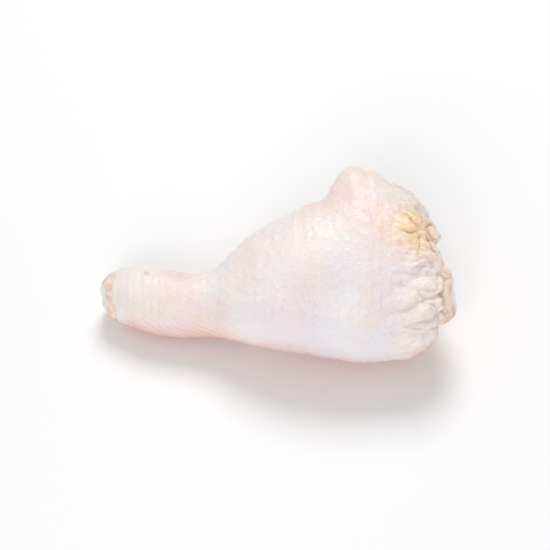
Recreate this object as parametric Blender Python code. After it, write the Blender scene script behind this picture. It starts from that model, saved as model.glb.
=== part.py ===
"""Raw chicken drumstick with its skin on, lying on its side.

The hock's knuckle is at -X, the knee at +X, the calf at +Y, and the leg rests on z = 0.
The bone runs the whole length. The meat is one solid round it, cut across at the knee.
The skin is a sleeve over the meat: it stops short of the knuckle, and at the knee it ends
in a gathered edge that leaves the cut meat and the joint bare.
Each of the three is a loft through rings of unlike sections. A ring's point at angle 0 faces
the calf, at 90 degrees up, at 180 the shin and at 270 the floor.
"""

import math

import bpy
import numpy as np

MM = 0.001

# Driving dimensions, in millimetres.
LENGTH = 130.0
WIDTH = 71.5  # the plump part from shin to calf, with its loose skin
THICKNESS = 51.5  # the plump part, lying down
SHANK = 23.5  # diameter of the thin part
SKIN = 1.6  # skin with the fat under it
GAP = 0.4  # left between pieces that touch
ROLL = math.radians(15)  # the calf is tipped up from lying flat
EGG = 0.10  # how much thicker a section is towards the calf

# Sections of the skin from hock to knee: place along the leg as a share of LENGTH, fullness in
# width and in thickness from 0 at the shank to 1 where it fills WIDTH or THICKNESS, centre towards
# the calf and centre above the floor in millimetres.
SECTIONS = (
    (0.045, -0.105, -0.16, 0.8, 10.7),
    (0.075, -0.055, -0.07, 0.5, 10.7),
    (0.130, 0.01, 0.00, -1.6, 11.4),
    (0.200, 0.01, 0.01, -3.8, 12.0),
    (0.280, -0.01, 0.00, -5.8, 12.9),
    (0.335, 0.03, 0.04, -6.2, 14.4),
    (0.385, 0.20, 0.24, -4.9, 17.0),
    (0.460, 0.43, 0.55, -3.7, 20.4),
    (0.550, 0.61, 0.78, -3.1, 22.6),
    (0.640, 0.76, 0.93, -2.4, 23.9),
    (0.740, 0.92, 1.00, 0.2, 24.3),
    (0.820, 0.93, 0.94, 1.2, 24.2),
    (0.890, 0.77, 0.76, -0.3, 24.1),
    (0.945, 0.46, 0.42, -2.6, 24.4),
    (0.985, 0.06, -0.06, -5.0, 24.9),
    (1.000, -0.49, -0.84, -5.8, 25.0),
)
FULL = (WIDTH - SHANK) / 2  # millimetres that a fullness of 1 adds to the half width

# Sections of the bone: place along as a share of LENGTH, radius, share of the radius that the
# height has, centre towards the calf and centre above the floor in millimetres.
BONE_SECTIONS = (
    (0.000, 0.0, 1.00, 1.2, 10.7),
    (0.006, 3.6, 1.02, 1.1, 10.7),
    (0.026, 6.7, 1.06, 0.9, 10.7),
    (0.055, 8.1, 1.06, 0.7, 10.7),
    (0.090, 7.8, 1.02, 0.1, 10.9),
    (0.130, 6.2, 1.00, -1.2, 11.3),
    (0.190, 4.5, 1.00, -3.2, 12.0),
    (0.330, 3.9, 1.00, -6.4, 14.2),
    (0.550, 3.9, 1.00, -8.0, 18.8),
    (0.760, 4.8, 0.96, -8.8, 22.6),
    (0.860, 7.4, 0.92, -9.2, 24.3),
    (0.930, 10.4, 0.88, -9.4, 25.2),
    (0.965, 10.8, 0.88, -9.4, 25.4),
    (0.988, 9.4, 0.88, -9.4, 25.5),
    (0.998, 5.2, 0.88, -9.4, 25.5),
    (1.000, 0.0, 0.88, -9.4, 25.5),
)

# How far the skin's forms stand off the smooth leg, in millimetres.
FLAP = 7.2  # loose skin on the calf, just before the knee
GATHERS = 2.3  # folds that run into the knee's edge
PAD = 1.5  # puckered fat on top, beside the knee
SLACK = 0.9  # slack roll under the shank

# Forms of the bone's ends, in millimetres.
HOCK_GROOVE = 1.9  # deep, between the two knuckles
KNEE_RIDGE = 0.5  # high, between the two dishes
KNEE_DISH = 1.1  # deep

AROUND = 40  # points round the skin and the meat
BONE_AROUND = 24

# Shares of the way along the bone where its rings lie. The meat's bore uses those in BORE too.
BONE_ENDS = ([0.012, 0.03, 0.05, 0.07, 0.09, 0.11], [0.9, 0.92, 0.935, 0.95, 0.965, 0.98, 0.99])
BORE = [0.2, 0.28, 0.38, 0.5, 0.62, 0.72, 0.78, 0.82, 0.85, 0.875]
BONE_RINGS = [*BONE_ENDS[0], 0.135, 0.165, *BORE, *BONE_ENDS[1]]

# Shares of the way along the skin where rings of its inner side lie. The meat's outer rings lie at
# the same ones but the first, and go on over the shoulder to the cut face.
LINING = [0.05, 0.09, 0.125, 0.16, 0.195, 0.225, 0.25, 0.275, 0.3, 0.325]
LINING += [0.355, 0.39, 0.43, 0.475, 0.52, 0.57, 0.62, 0.67, 0.71, 0.74]
SHOULDER = [0.765, 0.79, 0.815, 0.835]
FACE_DEPTH = 2.4  # grooves between the muscles on the cut face, millimetres
MUSCLE_SEAMS = np.radians([18.0, 78.0, 128.0, 205.0, 292.0])


def spline(rows, share, scale):
    """Values at share, from 0 to 1 of the way along the rows' profile, on a smooth curve through them.

    The profile's height is the second column times scale.
    """
    rows = np.array(rows, float)
    step = rows[1:, :2] - rows[:-1, :2]
    knots = np.concatenate([[0.0], np.cumsum(np.hypot(step[:, 0] * LENGTH, step[:, 1] * scale))])
    knots /= knots[-1]
    slope = np.gradient(rows, knots, axis=0)
    share = np.clip(np.asarray(share, float), 0.0, 1.0)
    i = np.clip(np.searchsorted(knots, share, side="right") - 1, 0, len(knots) - 2)
    width = knots[i + 1] - knots[i]
    t = ((share - knots[i]) / width)[..., None]
    width = width[..., None]
    return (
        (1 + 2 * t) * (1 - t) ** 2 * rows[i]
        + t * (1 - t) ** 2 * width * slope[i]
        + t**2 * (3 - 2 * t) * rows[i + 1]
        + t**2 * (t - 1) * width * slope[i + 1]
    )


def smooth_step(low, high, x):
    t = np.clip((x - low) / (high - low), 0.0, 1.0)
    return t * t * (3 - 2 * t)


def turned(angle, other):
    """The angle from other to angle, from -pi to pi."""
    return (angle - other + math.pi) % (2 * math.pi) - math.pi


def body_surface(share, angle):
    """Points of the smooth leg."""
    along, full_width, full_thick, calfwards, height = np.moveaxis(spline(SECTIONS, share, FULL), -1, 0)
    half_width = np.maximum(SHANK / 2 + full_width * FULL, 0.05)
    half_thick = np.maximum(SHANK / 2 + full_thick * (THICKNESS - SHANK) / 2, 0.05)
    fullness = np.clip(full_width, 0.0, 1.0)
    y = half_width * np.cos(angle)
    z = half_thick * np.sin(angle) * (1 + EGG * fullness * np.cos(angle))
    roll = ROLL * fullness
    points = np.empty(np.broadcast(share, angle).shape + (3,))
    points[..., 0] = along * LENGTH
    points[..., 1] = calfwards + y * np.cos(roll) - z * np.sin(roll)
    points[..., 2] = height + y * np.sin(roll) + z * np.cos(roll)
    return points


def outward(share, angle):
    """Unit normals of the smooth leg."""
    small = 1e-4
    ahead, behind = np.clip(share + small, 0, 1), np.clip(share - small, 0, 1)
    along = body_surface(ahead, angle) - body_surface(behind, angle)
    around = body_surface(share, angle + small) - body_surface(share, angle - small)
    normal = np.cross(around, along)
    return normal / np.maximum(np.linalg.norm(normal, axis=-1, keepdims=True), 1e-12)


def skin_folds(share, angle):
    """How far the skin stands off the smooth leg, in millimetres."""
    x = spline(SECTIONS, share, FULL)[..., 0] * LENGTH
    flap = smooth_step(84.5, 93.0, x) * (1 - smooth_step(96.0, 109.0, x))
    flap = flap * np.exp(-((turned(angle, math.radians(32)) / 0.42) ** 2))
    gather = smooth_step(100.0, 119.0, x) * (0.65 + 0.35 * np.cos(angle - math.radians(120)))
    wave = np.sin(9 * angle + 1.6 * np.sin(2 * angle + 0.6) + 0.05 * x)
    gather = gather * (np.abs(wave) ** 0.8 - 0.25)
    pad = np.exp(-(((x - 115.0) / 7.5) ** 2) - (turned(angle, math.radians(92)) / 0.36) ** 2)
    slack = np.exp(-(((x - 27.0) / 9.0) ** 2) - (turned(angle, math.radians(222)) / 0.5) ** 2)
    return FLAP * flap + GATHERS * gather + PAD * pad + SLACK * slack


def knee_edge(angle):
    """Share along the sections where the skin ends at the knee, furthest over the top and the shin."""
    reach = 0.5 + 0.5 * np.cos(turned(angle, math.radians(128)))
    return 0.76 + 0.075 * smooth_step(0.15, 0.85, reach) + 0.008 * np.sin(7 * angle + 0.8)


def hock_edge(angle):
    """Share along the sections where the skin begins at the hock."""
    return 0.008 + 0.008 * np.sin(2 * angle + 0.5) + 0.004 * np.sin(5 * angle)


def angles(count):
    return np.arange(count) * 2 * math.pi / count


def resting(points, height):
    """The leg's soft underside lies flat, no lower than height."""
    points = points.copy()
    points[..., 2] = np.maximum(points[..., 2], height)
    return points


def lining(share, angle, more=0.0):
    """Points of the skin's inner side, more millimetres deeper. The skin thins towards the hock."""
    x = spline(SECTIONS, share, FULL)[..., 0] * LENGTH
    depth = SKIN * (0.4 + 0.6 * smooth_step(5.0, 20.0, x)) + more
    points = body_surface(share, angle) - np.reshape(depth, (-1, 1)) * outward(share, angle)
    return resting(points, SKIN + 1.5 * more)


def skin_rings():
    """Rings of the skin's closed profile: outside from hock to knee, then inside back again."""
    angle = angles(AROUND)
    start, end = hock_edge(angle), knee_edge(angle)
    rings = []
    for t in np.concatenate([np.linspace(0.0, 0.62, 20), np.linspace(0.65, 1.0, 15)]):
        share = start + t * (end - start)
        standing = skin_folds(share, angle)[:, None]
        rings.append(resting(body_surface(share, angle) + standing * outward(share, angle), 0.0))
    inside = [LINING[-1] + t * (end - LINING[-1]) for t in (1.0, 0.75, 0.5, 0.25)]
    rings += [lining(share, angle) for share in [*inside, *reversed(LINING), start]]
    return rings


def bone_surface(share, angle, more=0.0):
    """Points of the bone, grown by more millimetres.

    The hock's end is two knuckles with a groove between. The knee's is two dishes with a ridge
    between, and its head has a crest at the shin and a bump where the thin second bone joins it.
    """
    along, radius, tall, calfwards, height = np.moveaxis(spline(BONE_SECTIONS, share, 1.0), -1, 0)
    x = along * LENGTH
    crest = 0.2 * np.exp(-((turned(angle, math.pi) / 0.5) ** 2)) * smooth_step(96.0, 120.0, x)
    bump = 0.1 * np.exp(-((turned(angle, math.radians(315)) / 0.4) ** 2)) * smooth_step(108.0, 120.0, x)
    radius = np.maximum(radius, 0.0) * (1 + crest + bump) + more
    y = radius * np.cos(angle)
    z = radius * tall * np.sin(angle)
    hock = 1 - smooth_step(0.0, 12.0, x)
    hock_groove = HOCK_GROOVE * np.exp(-((z / 2.6) ** 2)) * hock
    knee_ridge = KNEE_RIDGE * np.exp(-((z / 2.0) ** 2)) * smooth_step(124.0, 129.0, x)
    knee_dish = KNEE_DISH * np.exp(-(((np.abs(z) - 4.8) / 2.6) ** 2)) * smooth_step(126.0, 129.5, x)
    points = np.empty(np.broadcast(share, angle).shape + (3,))
    points[..., 0] = x + hock_groove * hock + knee_ridge - knee_dish
    points[..., 1] = calfwards + y * (1 - hock_groove / np.maximum(radius, 4.0))
    points[..., 2] = height + z
    return points


def meat_rings():
    """Rings of the meat's closed profile: outside to the knee, over the cut face, back along the bone."""
    angle = angles(AROUND)
    rings = [lining(share, angle, more=GAP) for share in LINING[1:] + SHOULDER]
    rim = rings[-1]
    mouth = bone_surface(BORE[-1], angle, more=GAP)
    seams = np.exp(-((turned(angle[:, None], MUSCLE_SEAMS[None, :]) / 0.16) ** 2)).sum(axis=1)
    for t in (0.2, 0.4, 0.6, 0.8):
        ring = rim + t * (mouth - rim)
        ring[:, 0] += FACE_DEPTH * math.sin(math.pi * t) * (0.6 - seams)
        rings.append(ring)
    for share in reversed(BORE):
        rings.append(bone_surface(share, angle, more=GAP))
    return rings


def bone_rings():
    return [bone_surface(share, angles(BONE_AROUND)) for share in BONE_RINGS]


def loft(rings, closed):
    """Points and faces of a surface through the rings, closed on itself or capped at both ends."""
    count = len(rings[0])
    points = np.concatenate(rings)
    faces = []
    pairs = len(rings) if closed else len(rings) - 1
    for r in range(pairs):
        near, far = r * count, (r + 1) % len(rings) * count
        for i in range(count):
            j = (i + 1) % count
            faces.append((near + i, near + j, far + j, far + i))
    if not closed:
        for base, turn in ((0, -1), (len(points) - count, 1)):
            middle = len(points)
            points = np.concatenate([points, points[base : base + count].mean(axis=0, keepdims=True)])
            for i in range(count):
                j = (i + 1) % count
                faces.append((base + i, base + j, middle)[::turn])
    return points, faces


def plain_material(name, colour, roughness):
    material = bpy.data.materials.new(name)
    material.use_nodes = True
    shader = material.node_tree.nodes["Principled BSDF"]
    shader.inputs["Base Color"].default_value = (*colour, 1.0)
    shader.inputs["Roughness"].default_value = roughness
    shader.inputs["Metallic"].default_value = 0.0
    material.diffuse_color = (*colour, 1.0)
    return material


def mesh_object(name, points, faces, material, collection):
    mesh = bpy.data.meshes.new(name)
    mesh.from_pydata(points.tolist(), [], faces)
    mesh.shade_smooth()
    mesh.materials.append(material)
    piece = bpy.data.objects.new(name, mesh)
    collection.objects.link(piece)
    return piece


def main():
    for old in list(bpy.data.objects):
        bpy.data.objects.remove(old, do_unlink=True)
    collection = bpy.data.collections.new("raw_chicken_drumstick")
    bpy.context.scene.collection.children.link(collection)

    pieces = (
        ("skin", loft(skin_rings(), closed=True), (0.86, 0.74, 0.70), 0.4),
        ("meat", loft(meat_rings(), closed=True), (0.66, 0.27, 0.22), 0.35),
        ("bone", loft(bone_rings(), closed=False), (0.85, 0.78, 0.66), 0.3),
    )
    everything = np.concatenate([points for _, (points, _), _, _ in pieces])
    low, high = everything.min(axis=0), everything.max(axis=0)
    origin = np.array([(low[0] + high[0]) / 2, (low[1] + high[1]) / 2, low[2]])
    for name, (points, faces), colour, roughness in pieces:
        material = plain_material(name, colour, roughness)
        mesh_object(name, (points - origin) * MM, faces, material, collection)


main()
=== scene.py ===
"""Looks of a raw chicken drumstick with its skin on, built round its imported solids.

The leg's own shape is worked out in millimetres, hock at x = 0 and knee at x = LENGTH, by the
same sections as the solids, and then given its folds, wrinkles, follicles and cut ends. A point
at angle 0 faces the calf, at 90 degrees up, at 180 the shin and at 270 the floor.
"""

import itertools
import math

import bpy
import numpy as np
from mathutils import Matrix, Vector
from mathutils.kdtree import KDTree


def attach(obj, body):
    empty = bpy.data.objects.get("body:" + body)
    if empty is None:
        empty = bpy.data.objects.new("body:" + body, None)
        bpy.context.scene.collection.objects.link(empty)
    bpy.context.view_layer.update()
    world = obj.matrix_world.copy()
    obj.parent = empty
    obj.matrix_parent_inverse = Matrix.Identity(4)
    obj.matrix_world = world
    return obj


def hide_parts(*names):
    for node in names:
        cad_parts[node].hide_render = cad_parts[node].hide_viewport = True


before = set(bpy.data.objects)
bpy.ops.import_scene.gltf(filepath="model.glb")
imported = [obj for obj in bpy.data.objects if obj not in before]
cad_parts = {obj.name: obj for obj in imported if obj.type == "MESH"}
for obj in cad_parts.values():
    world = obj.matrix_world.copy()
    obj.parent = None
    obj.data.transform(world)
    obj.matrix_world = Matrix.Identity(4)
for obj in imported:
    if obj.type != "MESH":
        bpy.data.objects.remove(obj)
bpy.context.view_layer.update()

MM = 0.001

# Driving dimensions, in millimetres
LENGTH = 130.0
WIDTH = 71.5  # the plump part from shin to calf, with its loose skin
THICKNESS = 51.5  # the plump part, lying down
SHANK = 23.5  # diameter of the thin part
SKIN = 1.6  # skin with the fat under it
SNUG = 0.05  # left between the skin and the meat
ROLL = math.radians(15)  # the calf is tipped up from lying flat
EGG = 0.10  # how much thicker a section is towards the calf
ORIGIN = np.array([65.815, 1.100, 0.0])  # the frame's origin in the leg's own millimetres

# Sections of the skin from hock to knee: place along the leg as a share of LENGTH, fullness in
# width and in thickness from 0 at the shank to 1 where it fills WIDTH or THICKNESS, centre towards
# the calf and centre above the floor in millimetres.
SECTIONS = (
    (0.045, -0.105, -0.16, 0.8, 10.7),
    (0.075, -0.055, -0.07, 0.5, 10.7),
    (0.130, 0.01, 0.00, -1.6, 11.4),
    (0.200, 0.01, 0.01, -3.8, 12.0),
    (0.280, -0.01, 0.00, -5.8, 12.9),
    (0.335, 0.03, 0.04, -6.2, 14.4),
    (0.385, 0.20, 0.24, -4.9, 17.0),
    (0.460, 0.43, 0.55, -3.7, 20.4),
    (0.550, 0.61, 0.78, -3.1, 22.6),
    (0.640, 0.76, 0.93, -2.4, 23.9),
    (0.740, 0.92, 1.00, 0.2, 24.3),
    (0.820, 0.93, 0.94, 1.2, 24.2),
    (0.890, 0.77, 0.76, -0.3, 24.1),
    (0.945, 0.46, 0.42, -2.6, 24.4),
    (0.985, 0.06, -0.06, -5.0, 24.9),
    (1.000, -0.49, -0.84, -5.8, 25.0),
)
FULL = (WIDTH - SHANK) / 2  # millimetres that a fullness of 1 adds to the half width

# Sections of the bone: place along as a share of LENGTH, radius, share of the radius that the
# height has, centre towards the calf and centre above the floor in millimetres.
BONE_SECTIONS = (
    (0.000, 0.0, 1.00, 1.2, 10.7),
    (0.006, 3.6, 1.02, 1.1, 10.7),
    (0.026, 6.7, 1.06, 0.9, 10.7),
    (0.055, 8.1, 1.06, 0.7, 10.7),
    (0.090, 7.8, 1.02, 0.1, 10.9),
    (0.130, 6.2, 1.00, -1.2, 11.3),
    (0.190, 4.5, 1.00, -3.2, 12.0),
    (0.330, 3.9, 1.00, -6.4, 14.2),
    (0.550, 3.9, 1.00, -8.0, 18.8),
    (0.760, 4.8, 0.96, -8.8, 22.6),
    (0.860, 7.4, 0.92, -9.2, 24.3),
    (0.930, 10.4, 0.88, -9.4, 25.2),
    (0.965, 10.8, 0.88, -9.4, 25.4),
    (0.988, 9.4, 0.88, -9.4, 25.5),
    (0.998, 5.2, 0.88, -9.4, 25.5),
    (1.000, 0.0, 0.88, -9.4, 25.5),
)

# Forms of the bone's ends, in millimetres
HOCK_GROOVE = 1.9  # deep, between the two knuckles
KNEE_RIDGE = 0.5  # high, between the two dishes
KNEE_DISH = 1.1  # deep

MUSCLE_SEAMS = (18, 78, 128, 205, 292)  # degrees round the leg
PAD_ALONG, PAD_ANGLE = 114.0, 80  # the puckered pad of fat, in millimetres and degrees
MEAT_SHOULDER = 0.835  # share along the skin's sections where the meat's cut face begins
BONE_MOUTH = 0.875  # share along the bone where the cut face meets it


# Smooth noise

RANDOM = np.random.default_rng(7)
GRADIENTS = RANDOM.normal(size=(256, 3))
GRADIENTS /= np.linalg.norm(GRADIENTS, axis=1, keepdims=True)
SHUFFLE = RANDOM.permutation(256)


def noise(points, size, seed=0):
    """Smooth noise from about -1 to 1, with bumps of that size, which may differ along x, y and z."""
    p = points / np.asarray(size, float) + 31.7 * seed
    base = np.floor(p).astype(np.int64)
    f = p - base
    fade = f * f * f * (f * (f * 6 - 15) + 10)
    total = np.zeros(points.shape[:-1])
    for corner in itertools.product((0, 1), repeat=3):
        c = np.array(corner)
        cell = (base + c) & 255
        index = SHUFFLE[(SHUFFLE[(SHUFFLE[cell[..., 0]] + cell[..., 1]) & 255] + cell[..., 2]) & 255]
        dot = ((f - c) * GRADIENTS[index]).sum(axis=-1)
        total += np.prod(np.where(c, fade, 1 - fade), axis=-1) * dot
    return total * 1.7


def fractal(points, size, seed=0, octaves=3):
    """Noise with finer and weaker noise added."""
    size = np.asarray(size, float)
    return sum(noise(points, size / 2**k, seed + k) / 2**k for k in range(octaves))


# Shape of the leg, as in the solids


def spline(rows, share, scale):
    """Values at share of the way along the rows' profile, on a smooth curve through them."""
    rows = np.array(rows, float)
    step = rows[1:, :2] - rows[:-1, :2]
    knots = np.concatenate([[0.0], np.cumsum(np.hypot(step[:, 0] * LENGTH, step[:, 1] * scale))])
    knots /= knots[-1]
    slope = np.gradient(rows, knots, axis=0)
    share = np.clip(np.asarray(share, float), 0.0, 1.0)
    i = np.clip(np.searchsorted(knots, share, side="right") - 1, 0, len(knots) - 2)
    width = knots[i + 1] - knots[i]
    t = ((share - knots[i]) / width)[..., None]
    width = width[..., None]
    return (
        (1 + 2 * t) * (1 - t) ** 2 * rows[i]
        + t * (1 - t) ** 2 * width * slope[i]
        + t**2 * (3 - 2 * t) * rows[i + 1]
        + t**2 * (t - 1) * width * slope[i + 1]
    )


def smooth_step(low, high, x):
    """From 0 where x is low to 1 where it is high."""
    t = np.clip((x - low) / (high - low), 0.0, 1.0)
    return t * t * (3 - 2 * t)


def turned(angle, other):
    """The angle from other to angle, from -pi to pi."""
    return (angle - other + math.pi) % (2 * math.pi) - math.pi


def hill(value, middle, width):
    """1 at the middle, falling smoothly to near 0 at two widths from it."""
    return np.exp(-(((value - middle) / width) ** 2))


def hill_round(angle, degrees, width):
    """A hill round the leg, width in radians."""
    return np.exp(-((turned(angle, math.radians(degrees)) / width) ** 2))


def unit(vectors):
    """Vectors of length 1 that point the same way."""
    return vectors / np.maximum(np.linalg.norm(vectors, axis=-1, keepdims=True), 1e-12)


def circle(angle, radius):
    """Points of a circle round the x axis, for noise that closes on itself."""
    return np.stack([np.zeros_like(angle), radius * np.cos(angle), radius * np.sin(angle)], axis=-1)


def along_leg(share):
    """Millimetres from the hock."""
    return spline(SECTIONS, share, FULL)[..., 0] * LENGTH


def body_surface(share, angle):
    """Points of the smooth leg."""
    along, full_width, full_thick, calfwards, height = np.moveaxis(spline(SECTIONS, share, FULL), -1, 0)
    half_width = np.maximum(SHANK / 2 + full_width * FULL, 0.05)
    half_thick = np.maximum(SHANK / 2 + full_thick * (THICKNESS - SHANK) / 2, 0.05)
    fullness = np.clip(full_width, 0.0, 1.0)
    y = half_width * np.cos(angle)
    z = half_thick * np.sin(angle) * (1 + EGG * fullness * np.cos(angle))
    roll = ROLL * fullness
    points = np.empty(np.broadcast(share, angle).shape + (3,))
    points[..., 0] = along * LENGTH
    points[..., 1] = calfwards + y * np.cos(roll) - z * np.sin(roll)
    points[..., 2] = height + y * np.sin(roll) + z * np.cos(roll)
    return points


def outward(share, angle):
    """Unit normals of the smooth leg."""
    small = 1e-4
    ahead, behind = np.clip(share + small, 0, 1), np.clip(share - small, 0, 1)
    along = body_surface(ahead, angle) - body_surface(behind, angle)
    around = body_surface(share, angle + small) - body_surface(share, angle - small)
    return unit(np.cross(around, along))


def settled(points, softness=0.5):
    """The underside lies flat on the floor, with a soft turn where it leaves it."""
    points = points.copy()
    z = points[..., 2]
    points[..., 2] = 0.5 * (z + np.sqrt(z * z + softness * softness))
    return points


def knee_edge(angle):
    """Share along the sections where the skin ends at the knee."""
    reach = 0.5 + 0.5 * np.cos(turned(angle, math.radians(128)))
    return 0.76 + 0.075 * smooth_step(0.15, 0.85, reach) + 0.008 * np.sin(7 * angle + 0.8)


def hock_edge(angle):
    """Share along the sections where the skin begins at the hock, never below 0."""
    edge = 0.008 + 0.008 * np.sin(2 * angle + 0.5) + 0.004 * np.sin(5 * angle)
    return 0.5 * (edge + np.hypot(edge, 0.008))


def skin_depth(share):
    """Millimetres from the smooth leg in to the skin's inner side. The skin thins towards the hock."""
    return SKIN * (0.4 + 0.6 * smooth_step(5.0, 20.0, along_leg(share)))


def bone_surface(share, angle, more=0.0):
    """Points of the bone, grown by more millimetres."""
    along, radius, tall, calfwards, height = np.moveaxis(spline(BONE_SECTIONS, share, 1.0), -1, 0)
    x = along * LENGTH
    crest = 0.2 * hill_round(angle, 180, 0.5) * smooth_step(96.0, 120.0, x)
    bump = 0.1 * hill_round(angle, 315, 0.4) * smooth_step(108.0, 120.0, x)
    radius = np.maximum(radius, 0.0) * (1 + crest + bump) + more
    y = radius * np.cos(angle)
    z = radius * tall * np.sin(angle)
    hock = 1 - smooth_step(0.0, 12.0, x)
    hock_groove = HOCK_GROOVE * hill(z, 0.0, 2.6) * hock
    knee_ridge = KNEE_RIDGE * hill(z, 0.0, 2.0) * smooth_step(124.0, 129.0, x)
    knee_dish = KNEE_DISH * hill(np.hypot(z, 1.0), 4.8, 2.6) * smooth_step(126.0, 129.5, x)
    points = np.empty(np.broadcast(share, angle).shape + (3,))
    points[..., 0] = x + hock_groove * hock + knee_ridge - knee_dish
    points[..., 1] = calfwards + y * (1 - hock_groove / np.maximum(radius, 4.0))
    points[..., 2] = height + z
    return points


# Materials


class Paint:
    """A material's nodes, made and joined in short calls. Sizes are in millimetres."""

    def __init__(self, name, subsurface, radius, coat, coat_roughness=0.12):
        self.material = bpy.data.materials.new(name)
        self.material.use_nodes = True
        self.tree = self.material.node_tree
        self.shader = self.tree.nodes["Principled BSDF"]
        self.place = self.make("ShaderNodeTexCoord").outputs["Object"]
        self.shader.inputs["IOR"].default_value = 1.4
        self.shader.inputs["Subsurface Weight"].default_value = subsurface
        self.shader.inputs["Subsurface Radius"].default_value = radius
        self.shader.inputs["Subsurface Scale"].default_value = MM
        self.shader.inputs["Coat Weight"].default_value = coat
        self.shader.inputs["Coat Roughness"].default_value = coat_roughness

    def make(self, kind):
        return self.tree.nodes.new(kind)

    def plug(self, socket, value):
        if isinstance(value, bpy.types.NodeSocket):
            self.tree.links.new(value, socket)
        else:
            socket.default_value = (*value, 1.0) if isinstance(value, tuple) and len(value) == 3 else value

    def mask(self, name):
        node = self.make("ShaderNodeAttribute")
        node.attribute_name = name
        return node.outputs["Fac"]

    def texture(self, kind, size, stretch):
        """A texture node of that kind, drawn out along x, y and z by stretch."""
        mapping = self.make("ShaderNodeMapping")
        self.plug(mapping.inputs["Vector"], self.place)
        mapping.inputs["Scale"].default_value = [1 / s for s in stretch]
        node = self.make(kind)
        self.plug(node.inputs["Vector"], mapping.outputs["Vector"])
        node.inputs["Scale"].default_value = 1 / (size * MM)
        return node

    def noise(self, size, detail, stretch=(1.0, 1.0, 1.0)):
        node = self.texture("ShaderNodeTexNoise", size, stretch)
        node.inputs["Detail"].default_value = detail
        return node.outputs["Fac"]

    def cell_edges(self, size, stretch):
        """How far each point is from the edge of its cell."""
        node = self.texture("ShaderNodeTexVoronoi", size, stretch)
        node.feature = "DISTANCE_TO_EDGE"
        return node.outputs["Distance"]

    def ramp(self, value, low, high, bottom=0.0, top=1.0):
        """From bottom where the value is low to top where it is high."""
        node = self.make("ShaderNodeMapRange")
        node.interpolation_type = "SMOOTHSTEP"
        sockets = ("Value", "From Min", "From Max", "To Min", "To Max")
        for socket, v in zip(sockets, (value, low, high, bottom, top)):
            self.plug(node.inputs[socket], v)
        return node.outputs["Result"]

    def times(self, a, b):
        node = self.make("ShaderNodeMath")
        node.operation = "MULTIPLY"
        self.plug(node.inputs[0], a)
        self.plug(node.inputs[1], b)
        return node.outputs[0]

    def mix(self, share, low, high):
        """The colour at share of the way from low to high. Sockets 6 and 7 take colours, 2 gives one."""
        node = self.make("ShaderNodeMix")
        node.data_type = "RGBA"
        for i, v in ((0, share), (6, low), (7, high)):
            self.plug(node.inputs[i], v)
        return node.outputs[2]

    def bump(self, height, distance, strength, over=None):
        """A normal bent by height, laid over another where one is given."""
        node = self.make("ShaderNodeBump")
        node.inputs["Distance"].default_value = distance * MM
        node.inputs["Strength"].default_value = strength
        self.plug(node.inputs["Height"], height)
        if over is not None:
            self.plug(node.inputs["Normal"], over)
        return node.outputs["Normal"]

    def done(self, colour, roughness, normal):
        self.plug(self.shader.inputs["Base Color"], colour)
        self.plug(self.shader.inputs["Roughness"], roughness)
        self.plug(self.shader.inputs["Normal"], normal)
        return self.material


def linear(red, green, blue):
    """The shader's colour for one given in sRGB from 0 to 255, none of it near black."""
    return tuple(((c / 255 + 0.055) / 1.055) ** 2.4 for c in (red, green, blue))


SKIN_PALE = linear(240, 230, 231)
SKIN_WARM = linear(247, 236, 229)
SKIN_PINK = linear(229, 163, 151)
SKIN_LAVENDER = linear(226, 224, 238)
SKIN_FAT = linear(247, 216, 174)
# darker brownish colour of the painted shade in the creases
SKIN_CREASE_SHADE = linear(204, 152, 132)
SKIN_PORE = linear(246, 222, 198)
MEAT_RED = linear(202, 112, 102)
MEAT_PINK = linear(224, 148, 134)
MEAT_FIBRE = linear(234, 176, 160)
MEAT_MARBLING = linear(238, 196, 184)
MEAT_FILM = linear(240, 216, 212)
MEAT_FAT = linear(248, 224, 184)
MEAT_BLOOD = linear(150, 46, 42)
BONE_BLUISH = linear(234, 233, 234)
BONE_CREAM = linear(243, 238, 229)
BONE_YELLOW = linear(248, 222, 196)
BONE_BLOOD = linear(206, 130, 118)
SINEW_CREAM = linear(244, 226, 204)
SINEW_PINK = linear(236, 200, 186)
SINEW_BLOOD = linear(190, 98, 88)


def skin_material():
    paint = Paint("raw_skin", 0.30, (2.6, 1.1, 0.7), 0.15, 0.20)
    large = paint.noise(17.0, 3.0)
    small = paint.noise(4.2, 4.0)
    base = paint.mix(paint.ramp(large, 0.36, 0.66), SKIN_PALE, SKIN_WARM)
    # The pink mask also carries painted reddish bounce light and shade along the low edge
    pink = paint.times(paint.mask("pink"), paint.ramp(small, 0.3, 0.7, 0.66, 1.0))
    base = paint.mix(pink, base, SKIN_PINK)
    base = paint.mix(paint.times(paint.mask("cool"), 0.6), base, SKIN_LAVENDER)
    fat = paint.times(paint.mask("fat"), paint.ramp(small, 0.3, 0.65, 0.7, 1.1))
    base = paint.mix(fat, base, SKIN_FAT)
    # Painted shade: a darker brownish colour in the troughs of the creases, and a small dark spot on the
    # shank
    base = paint.mix(paint.times(paint.mask("crease_shade_and_spot"), 0.7), base, SKIN_CREASE_SHADE)
    base = paint.mix(paint.times(paint.mask("pore"), 0.5), base, SKIN_PORE)
    fine = paint.cell_edges(1.15, (1.35, 1.0, 1.0))
    normal = paint.bump(paint.ramp(fine, 0.0, 0.28), 0.11, 0.7)
    normal = paint.bump(paint.noise(0.6, 2.0), 0.10, 0.6, over=normal)
    rough = paint.ramp(paint.noise(7.0, 3.0), 0.35, 0.65, 0.34, 0.50)
    return paint.done(base, rough, normal)


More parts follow.
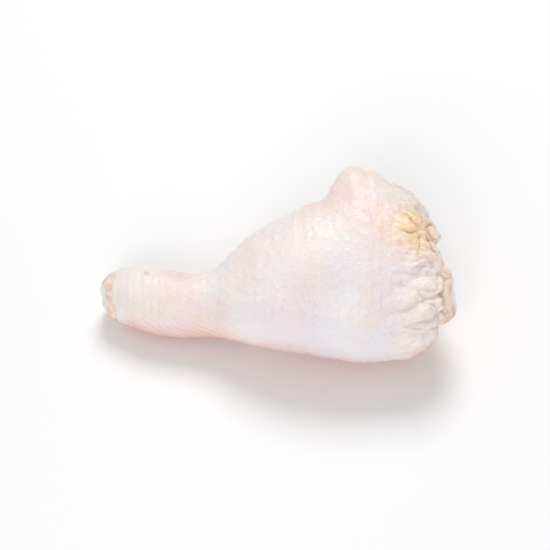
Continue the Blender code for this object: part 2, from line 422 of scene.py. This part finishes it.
def meat_material():
    paint = Paint("raw_meat", 0.25, (3.0, 0.8, 0.5), 0.45)
    grain = paint.noise(1.3, 4.0, (5.0, 1.0, 1.0))
    large = paint.noise(9.0, 2.0)
    base = paint.mix(paint.ramp(large, 0.35, 0.65), MEAT_RED, MEAT_PINK)
    base = paint.mix(paint.ramp(grain, 0.42, 0.7, 0.0, 0.6), base, MEAT_FIBRE)
    mosaic = paint.ramp(paint.cell_edges(1.5, (6.0, 1.0, 1.0)), 0.0, 0.30)
    marbled = paint.times(paint.ramp(mosaic, 0.0, 1.0, 0.40, 0.0), paint.ramp(grain, 0.35, 0.6))
    base = paint.mix(marbled, base, MEAT_MARBLING)
    base = paint.mix(paint.mask("film"), base, MEAT_FILM)
    base = paint.mix(paint.mask("fat"), base, MEAT_FAT)
    base = paint.mix(paint.mask("blood"), base, MEAT_BLOOD)
    normal = paint.bump(mosaic, 0.16, 0.6)
    normal = paint.bump(grain, 0.30, 0.6, over=normal)
    rough = paint.ramp(paint.noise(3.0, 2.0), 0.35, 0.65, 0.22, 0.42)
    return paint.done(base, rough, normal)


def bone_material():
    paint = Paint("cartilage", 0.25, (2.2, 1.4, 1.0), 0.5)
    large = paint.noise(5.0, 3.0)
    base = paint.mix(paint.ramp(large, 0.35, 0.68), BONE_BLUISH, BONE_CREAM)
    base = paint.mix(paint.mask("yellow"), base, BONE_YELLOW)
    # The blood mask also carries painted shade in the pit of the joint's face
    base = paint.mix(paint.mask("blood"), base, BONE_BLOOD)
    normal = paint.bump(paint.noise(1.1, 3.0), 0.08, 0.5)
    rough = paint.ramp(paint.noise(2.4, 2.0), 0.35, 0.65, 0.18, 0.34)
    return paint.done(base, rough, normal)


def sinew_material():
    paint = Paint("sinew", 0.3, (2.4, 1.2, 0.8), 0.4)
    large = paint.noise(2.6, 3.0)
    base = paint.mix(paint.ramp(large, 0.35, 0.65), SINEW_CREAM, SINEW_PINK)
    base = paint.mix(paint.mask("blood"), base, SINEW_BLOOD)
    normal = paint.bump(paint.noise(0.7, 3.0, (3.0, 1.0, 1.0)), 0.15, 0.7)
    rough = paint.ramp(paint.noise(1.6, 2.0), 0.35, 0.65, 0.22, 0.40)
    return paint.done(base, rough, normal)


# Meshes


def lofted(name, rings, masks, material, node=None, closed=True):
    """A mesh piece through rings of equal length, closed on itself or with a point at each end."""
    rings = (np.asarray(rings) - ORIGIN) * MM
    count, around = rings.shape[:2]
    index = np.arange(count * around).reshape(count, around)
    near = index if closed else index[:-1]
    far = np.roll(index, -1, axis=0)[: len(near)]
    quads = np.stack([near, np.roll(near, -1, axis=1), np.roll(far, -1, axis=1), far], axis=-1)
    faces = quads.reshape(-1, 4).tolist()
    points = rings.reshape(-1, 3)
    values = {key: np.asarray(value, float).reshape(-1) for key, value in masks.items()}
    if not closed:
        points = np.concatenate([points, rings[:1].mean(axis=1), rings[-1:].mean(axis=1)])
        values = {key: np.concatenate([v, v[:1], v[-1:]]) for key, v in values.items()}
        first, last = count * around, count * around + 1
        for i in range(around):
            j = (i + 1) % around
            faces.append([index[0, j], index[0, i], first])
            faces.append([index[-1, i], index[-1, j], last])
    mesh = bpy.data.meshes.new(name)
    mesh.from_pydata(points.tolist(), [], faces)
    mesh.shade_smooth()
    for key, value in values.items():
        attribute = mesh.attributes.new(key, "FLOAT", "POINT")
        attribute.data.foreach_set("value", np.clip(value, 0.0, 1.0).astype(np.float32))
    mesh.materials.append(material)
    piece = bpy.data.objects.new(name, mesh)
    bpy.context.scene.collection.objects.link(piece)
    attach(piece, "root")
    if node:
        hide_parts(node)


def distances(points, seeds):
    """How far each point is from the nearest seed."""
    tree = KDTree(len(seeds))
    for i, seed in enumerate(seeds):
        tree.insert(seed, i)
    tree.balance()
    flat = np.array([tree.find(p)[2] for p in points.reshape(-1, 3)])
    return flat.reshape(points.shape[:-1])


def even_angles(count):
    """Angles once round."""
    return np.arange(count) / count * 2 * math.pi


def uneven_angles(count, busy_degrees, gain):
    """Angles once round, closer together about the busy side."""
    u = np.linspace(0.0, 2 * math.pi, 2001)
    density = 1 + gain * np.cos(u - math.radians(busy_degrees))
    share = np.concatenate([[0.0], np.cumsum((density[1:] + density[:-1]) / 2)])
    return np.interp(np.arange(count) / count, share / share[-1], u)


# Skin

SKIN_AROUND = 336
SKIN_ALONG = 262
LINING_ALONG = 24
FOLLICLE_STEP = 4.3  # millimetres between follicles in a row
FOLLICLE_ROWS = (0.03, 0.86)  # shares along the skin where their rows begin and end
PROFILE = 150  # millimetres along the skin from hock to knee

# How far the skin's forms stand off the smooth leg, in millimetres
FLAP = 6.4  # loose skin on the calf, just before the knee
GATHERS = 1.5  # folds that run into the knee's edge
PAD = 1.2  # puckered fat on top, beside the knee
SLACK = 0.9  # slack roll under the shank
BROAD_SWELLS = 0.60
SMALL_SWELLS = 0.32
TENDONS = 0.40
SEAM = 0.7  # furrow between the muscles on top
HOCK_RINGS = 0.16
SLANT_LINES = 0.22
PULLS = 0.22
FOLDS = 1.15
FOLD_EDGES = 0.42
PUCKERS = 0.50
UNEVENNESS = 0.10
PAD_CREASES = 0.75
FOLLICLES = 0.55


def follicles():
    """Points of the smooth leg where feathers grew, in staggered rows."""
    draw = np.random.default_rng(3)
    seeds = []
    share, last = FOLLICLE_ROWS
    row = 0
    while share < last:
        ring = body_surface(share, np.linspace(0, 2 * math.pi, 90))
        girth = np.linalg.norm(np.diff(ring, axis=0), axis=1).sum()
        count = max(6, round(girth / FOLLICLE_STEP))
        turn = (np.arange(count) + 0.5 * (row % 2) + draw.uniform(-0.16, 0.16, count)) * 2 * math.pi / count
        shift = draw.uniform(-0.0035, 0.0035, count)
        seeds.append(body_surface(share + shift, turn))
        share += 0.86 * FOLLICLE_STEP / PROFILE
        row += 1
    return np.concatenate(seeds)


def pad_creases(x, angle, smooth):
    """Creases that run out from near the middle of the pad of fat, from 0 to 1."""
    dx, dy = x - PAD_ALONG - 3.0, turned(angle, math.radians(PAD_ANGLE)) * 24.0
    reach = np.hypot(dx, dy)
    ray = np.abs(np.sin(3.5 * np.arctan2(dy, dx) + 1.3 * noise(smooth, 5.0, 10)))
    return hill(ray, 0.0, 0.20) * smooth_step(0.6, 2.2, reach) * (1 - smooth_step(5.0, 10.0, reach))


def skin_relief(share, angle, smooth):
    """How far the skin stands off the smooth leg, in millimetres, and its masks."""
    x = along_leg(share)
    body = smooth_step(40.0, 62.0, x)
    knee = smooth_step(100.0, 118.0, x)
    drift = np.stack([noise(smooth, 9.0, seed) for seed in (14, 15, 16)], axis=-1)

    # Loose flap on the calf, gathers at the knee, pad of fat and slack roll, much as in the solid
    flap = smooth_step(83.0, 93.0, x) * (1 - smooth_step(96.0, 109.0, x)) * hill_round(angle, 32, 0.42)
    gather = knee * (0.65 + 0.35 * np.cos(angle - math.radians(120)))
    wave = np.sin(9 * angle + 1.6 * np.sin(2 * angle + 0.6) + 0.05 * x + 0.9 * drift[..., 0])
    pad = hill(x, PAD_ALONG, 7.0) * hill_round(angle, PAD_ANGLE, 0.34)
    slack = hill(x, 27.0, 9.0) * hill_round(angle, 222, 0.5)
    lobes = 1 + 0.10 * np.sin(0.74 * (x - 84.0) + 0.9 * drift[..., 1])
    height = FLAP * flap * lobes + GATHERS * gather * (np.abs(wave) ** 0.8 - 0.25)
    height += PAD * pad + SLACK * slack

    # Swells of the muscles and tendons underneath
    height += body * (BROAD_SWELLS * noise(smooth, 24.0, 1) + SMALL_SWELLS * noise(smooth, 11.0, 2))
    seam = hill_round(angle, 120, 0.17) * smooth_step(46.0, 60.0, x) * (1 - smooth_step(80.0, 100.0, x))
    wander = angle + 0.25 * drift[..., 2]
    tendons = hill_round(wander, 50, 0.20) + 0.5 * hill_round(wander, 128, 0.30)
    tendons += 0.8 * hill_round(wander, 305, 0.2)
    tendons *= smooth_step(8.0, 14.0, x) * (1 - smooth_step(30.0, 46.0, x))
    height += TENDONS * tendons - SEAM * seam

    # Wrinkles: rings at the hock, slanting lines under the shank, pulls across the calf
    rings = np.sin(x * 2.1 + 2.4 * noise(smooth, 7.0, 3)) * (0.5 + 0.5 * noise(smooth, 6.0, 4))
    height += HOCK_RINGS * rings * (1 - smooth_step(18.0, 30.0, x))
    slant = np.sin(1.9 * x - 28.0 * angle + 3.8 * drift[..., 1] + 1.2 * noise(smooth, 4.0, 5))
    under = hill_round(angle, 212, 0.75) * smooth_step(8.0, 14.0, x) * (1 - smooth_step(44.0, 60.0, x))
    height += SLANT_LINES * slant * under * np.clip(0.55 + 0.65 * noise(smooth, 6.0, 6), 0.0, 1.0)
    pulls = 1 - np.abs(noise(smooth + 3.0 * drift, (5.0, 16.0, 16.0), 18))
    height += PULLS * body * (1 - knee) * (pulls**5 - 0.2)

    # Folds that run to the knee, and finer puckers in them and in the fat
    folds = np.abs(noise(smooth + 2.4 * drift, (13.0, 3.8, 3.8), 7))
    height += FOLDS * knee * (folds - 0.3)
    edges = 1 - np.abs(noise(smooth + 2.0 * drift, (5.0, 2.2, 2.2), 17))
    height += FOLD_EDGES * knee * (edges**6 - 0.2)
    pucker = np.abs(noise(smooth + 0.8 * drift, (3.6, 2.3, 2.3), 8))
    puckered = np.clip(knee * 0.6 + 1.1 * pad + 0.35 * flap, 0, 1)
    height += PUCKERS * puckered * (pucker - 0.3)
    height += UNEVENNESS * noise(smooth, 3.2, 9)
    rays = pad_creases(x, angle, smooth)
    height -= PAD_CREASES * rays

    # Follicles
    away = distances(smooth, follicles())
    goose = smooth_step(20.0, 40.0, x) * (1 - 0.8 * knee) * (0.62 + 0.38 * noise(smooth, 20.0, 11))
    goose *= 0.75 + 0.25 * np.cos(turned(angle, math.radians(40)))
    height += FOLLICLES * goose * hill(away, 0.0, 0.80)

    # Masks. Painted shade darkens the troughs of the folds, pad creases, puckers and slanting lines, and a
    # small dark spot on top of the shank among the creases
    crease_shade_and_spot = 0.34 * knee * hill(folds, 0.0, 0.09) + 0.9 * rays
    crease_shade_and_spot += 0.35 * puckered * hill(pucker, 0.0, 0.10)
    crease_shade_and_spot += 0.5 * under * smooth_step(0.1, 0.9, -slant)
    crease_shade_and_spot += 0.7 * hill(x, 19.0, 1.1) * hill_round(angle, 74, 0.11)
    fat = np.clip(1.4 * pad, 0, 1) * (0.75 + 0.25 * noise(smooth, 4.0, 19))
    fat += 0.16 * knee * (0.5 + 0.5 * noise(smooth, 9.0, 12)) + 0.26 * (1 - smooth_step(4.0, 17.0, x))
    fat += 0.20 * flap
    streaks = smooth_step(0.0, 0.55, noise(smooth, (26.0, 9.0, 9.0), 28))
    fat += 0.34 * body * streaks * hill_round(angle, 345, 0.85)
    # Pinker along the low edge under the shank and the body: partly the skin's own pink, partly painted
    # reddish bounce light and shade along that edge
    pink = 0.08 + 0.34 * noise(smooth, 22.0, 13) + 0.55 * under
    pink += 1.1 * hill_round(angle + 0.45 * body, 238, 0.45)
    pink += 0.28 * hill(x, 98.0, 14.0) * hill_round(angle, 68, 0.5)
    pink += 0.50 * hill_round(angle, 312, 0.55) * (0.7 + 0.5 * noise(smooth, 15.0, 29))
    pink *= 1 - 0.6 * np.clip(fat, 0, 1)
    cool = body * (1 - knee) * hill_round(angle, 155, 0.72) * (0.75 + 0.25 * noise(smooth, 14.0, 25))
    pore = goose * hill(away, 0.0, 0.5)
    return height, {"fat": fat, "pink": pink, "cool": cool, "crease_shade_and_spot": crease_shade_and_spot, "pore": pore}


def rounded_rim(outer, inner, ahead, lump):
    """Rings of a rounded edge from outer to inner, which stands out ahead."""
    thick = np.linalg.norm(outer - inner, axis=-1, keepdims=True)
    rings = []
    for half_turn in (0.15, 0.35, 0.5, 0.65, 0.85):
        out = math.sin(half_turn * math.pi)
        point = outer + (inner - outer) * (1 - math.cos(half_turn * math.pi)) / 2
        rings.append(point + ahead * out * (0.45 * thick + lump[:, None]))
    return np.array(rings)


def make_skin(material):
    angle = uneven_angles(SKIN_AROUND, 130, 0.32)
    ragged = circle(angle, 30)
    start = hock_edge(angle) + 0.003 * noise(ragged, 5.0, 20)
    end = knee_edge(angle) + 0.009 * fractal(ragged, 11.0, 21, 3)
    share = start + np.linspace(0.0, 1.0, SKIN_ALONG)[:, None] * (end - start)
    turn = np.broadcast_to(angle, share.shape)
    smooth, normal = body_surface(share, turn), outward(share, turn)
    height, masks = skin_relief(share, turn, smooth)
    outside = smooth + height[..., None] * normal

    share = start + np.linspace(1.0, 0.0, LINING_ALONG)[:, None] * (end - start)
    turn = np.broadcast_to(angle, share.shape)
    inside = body_surface(share, turn) - skin_depth(share)[..., None] * outward(share, turn)
    inside[..., 2] = np.maximum(inside[..., 2], SKIN * 0.9)

    forward, backward = unit(outside[-1] - outside[-4]), unit(outside[0] - outside[3])
    lobules = 0.9 * np.abs(noise(outside[-1], 3.4, 22)) + 0.35 * noise(outside[-1], 1.7, 26)
    knee_rim = rounded_rim(outside[-1], inside[0], forward, lobules)
    hock_rim = rounded_rim(inside[-1], outside[0], backward, 0.1 * noise(outside[0], 1.6, 23))
    rings = settled(np.concatenate([outside, knee_rim, inside, hock_rim]))

    # The masks go on over the knee's rim, the inside and the hock's rim, with one value on each
    elsewhere = {"fat": (0.55, 0.5, 0.2), "pink": (0.20, 0.3, 0.1)}
    for name in masks:
        values = elsewhere.get(name, (0.0, 0.0, 0.0))
        blocks = zip((knee_rim, inside, hock_rim), values)
        masks[name] = np.concatenate([masks[name]] + [np.full(b.shape[:2], value) for b, value in blocks])
    masks["fat"] += 0.25 * noise(rings, 5.0, 27) * (rings[..., 0] > 95)
    lofted("drumstick_skin", rings, masks, material, "skin")


# Meat

MEAT_AROUND = 260
FACE_ALONG = 46
BORE_CLEARANCE = 0.12  # millimetres between the meat and the bone
FACE_DEPTH = 2.4  # grooves between the muscles on the cut face, millimetres


def muscle_seams(angle, width):
    """1 at a seam between two muscles, falling to 0 away from it."""
    return sum(hill_round(angle, degrees, width) for degrees in MUSCLE_SEAMS)


def make_meat(material):
    angle = even_angles(MEAT_AROUND)
    depth = SKIN + SNUG
    outer = np.concatenate([np.linspace(0.09, 0.70, 14), np.linspace(0.715, MEAT_SHOULDER, 34)])
    share, turn = np.broadcast_arrays(outer[:, None], angle)
    smooth, normal = body_surface(share, turn), outward(share, turn)
    side = smooth - depth * normal
    side[..., 2] = np.maximum(side[..., 2], SKIN)
    bare = smooth_step(0.73, 0.77, share)
    seam = muscle_seams(turn, 0.10)
    strands = fractal(side, (14.0, 1.8, 1.8), 30, 2)
    side = side + (bare * (0.16 * strands + 0.35 * noise(side, 7.0, 31) - 0.9 * seam))[..., None] * normal

    # The cut face, from the shoulder in to the bone
    mouth = bone_surface(np.full(MEAT_AROUND, BONE_MOUTH), angle, more=BORE_CLEARANCE)
    rim = smooth[-1] - depth * normal[-1]
    inward = np.linspace(0.0, 1.0, FACE_ALONG + 1)[1:, None]
    face = rim + inward[..., None] * (mouth - rim)
    bent = angle + 0.22 * np.sin(math.pi * inward) * np.sin(2 * angle + 0.7)
    face_seam = muscle_seams(bent, 0.10 + 0.06 * inward)
    lobe = np.sin(math.pi * inward) ** 0.8
    bundles = distances(face, bundle_seeds(face))
    face[..., 0] += FACE_DEPTH * lobe * (0.6 - face_seam) + 0.30 * noise(face, 4.0, 32) * lobe
    face[..., 0] += 0.28 * lobe * (1 - np.clip(bundles / 0.8, 0, 1) ** 2) + 0.16 * noise(face, 1.3, 33) * lobe

    back = np.linspace(BONE_MOUTH - 0.02, 0.21, 12)
    bore = bone_surface(*np.broadcast_arrays(back[:, None], angle), more=BORE_CLEARANCE)
    rings = settled(np.concatenate([side, face, bore]))

    patches = smooth_step(0.05, 0.45, noise(rings, 7.5, 34))
    seams = np.concatenate([seam, face_seam, np.zeros(bore.shape[:2])])
    film = np.clip(0.75 * seams * (0.6 + 0.4 * noise(rings, 3.0, 35)) + 0.35 * patches, 0, 0.85)
    fat = smooth_step(0.42, 0.70, noise(rings, 3.6, 36)) * np.clip(0.2 + seams, 0, 1)
    blood = 0.5 * smooth_step(0.35, 0.75, noise(rings, 5.0, 37))
    near_bone = np.concatenate(
        [np.zeros(side.shape[:2]), np.broadcast_to(inward**6, face.shape[:2]), np.ones(bore.shape[:2])]
    )
    masks = {"film": film, "fat": fat, "blood": blood + 0.45 * near_bone}
    lofted("drumstick_meat", rings, masks, material, "meat")


def bundle_seeds(face):
    """Middles of the bundles of fibres that show on the cut face, scattered over it."""
    draw = np.random.default_rng(11)
    flat = face.reshape(-1, 3)
    return flat[draw.choice(len(flat), 420, replace=False)]


# Bone

BONE_AROUND = 160
HEAD_CALFWARDS, HEAD_HEIGHT = BONE_SECTIONS[-1][3:]  # middle of the joint's face, in millimetres


def make_bone(material):
    angle = even_angles(BONE_AROUND)
    shares = np.concatenate(
        [np.linspace(0.002, 0.14, 60), np.linspace(0.17, 0.82, 18), np.linspace(0.84, 0.998, 64)]
    )
    rings = bone_surface(*np.broadcast_arrays(shares[:, None], angle))
    x = rings[..., 0]
    away = unit(rings - rings.mean(axis=1, keepdims=True))
    hock, knee = 1 - smooth_step(7.0, 14.0, x), smooth_step(116.0, 122.0, x)
    lumps = 0.22 * noise(rings, 4.5, 40) + 0.08 * noise(rings, 1.6, 41)
    rings = rings + ((hock + knee) * lumps)[..., None] * away
    rough_neck = hill(x, 119.5, 2.5) * 0.35 * np.abs(noise(rings, (3.0, 1.6, 1.6), 42))
    rings = rings + rough_neck[..., None] * away

    # The joint's face: two dishes with a ridge and a pit between them, and a raised rim
    end = smooth_step(122.5, 126.5, x)
    across = rings[..., 1] - HEAD_CALFWARDS
    up = rings[..., 2] - HEAD_HEIGHT + 0.7 * np.sin(across / 3.2) + 0.4 * noise(rings, 5.0, 47)
    dishes = np.exp(-(((across + 0.8) / 4.6) ** 2) - ((np.hypot(up, 1.2) - 4.4) / 2.4) ** 2)
    pit = np.exp(-(((across - 1.5) / 2.2) ** 2) - (up / 1.1) ** 2)
    rim = smooth_step(6.2, 9.2, np.hypot(across, up / 0.88)) * end
    rings[..., 0] += end * (0.4 * hill(up, 0.0, 1.6) - 1.4 * dishes - 0.8 * pit + 0.3 * noise(rings, 3.4, 48))
    yellow = 0.5 * hill(x, 9.0, 3.5) + 0.3 * smooth_step(0.1, 0.6, noise(rings, 5.0, 43)) + 0.55 * rim
    blood = 0.55 * smooth_step(0.30, 0.7, noise(rings, 3.2, 44)) * hill(x, 121.0, 3.5)
    blood += 0.25 * smooth_step(0.35, 0.7, noise(rings, 2.6, 45)) * (1 - end) + 0.3 * hill(x, 60.0, 45.0)
    # The pit between the dishes is painted darker and pinker: partly the bone's own bloody colour, partly
    # painted shade in the hollow
    blood += 0.7 * pit * end + 0.5 * rim * smooth_step(-0.1, 0.5, noise(rings, 4.0, 46))
    masks = {"yellow": yellow, "blood": blood}
    lofted("drumstick_bone", rings, masks, material, "bone", closed=False)


# Sinews round the knuckle and the joint

SINEW_AROUND = 180
SUNK = 0.35  # millimetres that a sinew's inner side lies inside the bone

# Tendons in the sinews: degrees round the bone, and width in radians
HOCK_TENDONS = ((8, 0.50), (82, 0.30), (176, 0.45), (245, 0.25), (305, 0.32))
KNEE_TENDONS = ((180, 0.30), (95, 0.16), (20, 0.20), (275, 0.18))


def torn_edge(angle, first, reach, tendons, seed):
    """Share along the bone where a ring of sinew is torn off, further out at each tendon."""
    strap = sum(hill_round(angle, degrees, width) for degrees, width in tendons)
    return first + reach * (strap + 0.5 * noise(circle(angle, 8), 3.0, seed)), strap


def make_hock_sinew(material):
    """Tissue that rises from the knuckle to the inside of the skin and closes the gap there."""
    angle = even_angles(SINEW_AROUND)
    torn, strap = torn_edge(angle, 0.056, -0.011, HOCK_TENDONS, 50)
    t = np.linspace(0.0, 1.0, 28)[:, None]
    share = torn + t * (0.125 - torn)
    turn = np.broadcast_to(angle, share.shape)
    on_bone = bone_surface(share, turn)
    skin_share = np.maximum(hock_edge(angle) - 0.004, 0.0) + 0.09 * np.maximum(t - 0.30, 0.0)
    depth = skin_depth(skin_share) - 0.2
    under_skin = body_surface(skin_share, turn) - depth[..., None] * outward(skin_share, turn)
    rise = smooth_step(0.0, 0.30, t)[..., None]
    outside = on_bone + rise * (under_skin - on_bone)
    away = unit(outside - outside.mean(axis=1, keepdims=True))
    lump = 0.30 + 0.30 * noise(outside, (3.0, 2.0, 2.0), 51) + 0.30 * strap
    start = hill(t, 0.10, 0.08)
    outside = outside + (start * lump)[..., None] * away
    outside[..., 0] -= 0.35 * start * (1 + noise(outside, 1.8, 53))
    inside = bone_surface(share[::-1], turn, more=-SUNK)
    rings = settled(np.concatenate([outside, inside]))
    blood = 0.45 * smooth_step(0.3, 0.8, noise(rings, 2.6, 52))
    lofted("hock_sinew", rings, {"blood": blood}, material)


def make_knee_sinew(material):
    """A lumpy ring of torn ligament and capsule round the head of the bone."""
    angle = even_angles(SINEW_AROUND)
    torn, strap = torn_edge(angle, 0.905, 0.022, KNEE_TENDONS, 60)
    t = np.linspace(0.0, 1.0, 26)[:, None]
    share = torn + t * (0.85 - torn)
    turn = np.broadcast_to(angle, share.shape)
    lump = 1 + 0.45 * noise(bone_surface(share, turn), (4.0, 2.4, 2.4), 61) + 0.4 * strap * (1 - t)
    thick = np.interp(t, (0.0, 0.08, 0.4, 1.0), (0.05, 0.5, 0.9, 0.9)) * lump
    outside = bone_surface(share, turn, more=thick)
    inside = bone_surface(share[::-1], turn, more=-SUNK)
    rings = settled(np.concatenate([outside, inside]))
    blood = 0.6 * smooth_step(0.25, 0.75, noise(rings, 2.6, 62))
    lofted("knee_sinew", rings, {"blood": blood}, material)


def build_pieces():
    make_skin(skin_material())
    make_meat(meat_material())
    make_bone(bone_material())
    sinew = sinew_material()
    make_hock_sinew(sinew)
    make_knee_sinew(sinew)


# The studio, in metres and watts

SKY_STRENGTH = 0.47
LENS = 85  # millimetres
ELEVATION = math.radians(50)
DISTANCE = 0.475
TARGET = Vector((0.0, 0.0, 0.022))


def stage():
    """A plain pale floor under an even white sky."""
    bpy.ops.mesh.primitive_plane_add(size=6.0, location=(0.0, 0.0, 0.0))
    floor = bpy.context.object
    floor.name = "floor"
    material = bpy.data.materials.new("pale_floor")
    material.use_nodes = True
    shader = material.node_tree.nodes["Principled BSDF"]
    shader.inputs["Base Color"].default_value = (0.9, 0.9, 0.9, 1.0)
    shader.inputs["Roughness"].default_value = 0.6
    shader.inputs["Specular IOR Level"].default_value = 0.2
    floor.data.materials.append(material)

    world = bpy.data.worlds.new("studio")
    bpy.context.scene.world = world
    world.use_nodes = True
    background = world.node_tree.nodes["Background"]
    background.inputs["Color"].default_value = (1.0, 1.0, 1.0, 1.0)
    background.inputs["Strength"].default_value = SKY_STRENGTH


def light(name, place, power, size):
    """A round soft light that faces the middle of the floor."""
    lamp = bpy.data.lights.new(name, "AREA")
    lamp.shape = "DISK"
    lamp.energy = power
    lamp.size = size
    lit = bpy.data.objects.new(name, lamp)
    lit.location = place
    lit.rotation_euler = (-Vector(place)).to_track_quat("-Z", "Y").to_euler()
    bpy.context.scene.collection.objects.link(lit)


def camera():
    """Looks along +Y and down at 50 degrees, as the photograph does."""
    data = bpy.data.cameras.new("camera")
    data.lens = LENS
    viewer = bpy.data.objects.new("camera", data)
    back = Vector((0.0, -math.cos(ELEVATION), math.sin(ELEVATION)))
    viewer.location = TARGET + back * DISTANCE
    viewer.rotation_euler = (-back).to_track_quat("-Z", "Y").to_euler()
    bpy.context.scene.collection.objects.link(viewer)
    bpy.context.scene.camera = viewer


build_pieces()
stage()
light("key", place=(0.05, 0.50, 0.78), power=4.5, size=0.45)
light("fill", place=(-0.15, -0.72, 0.46), power=3.0, size=0.5)
camera()
bpy.context.scene.view_settings.view_transform = "Standard"
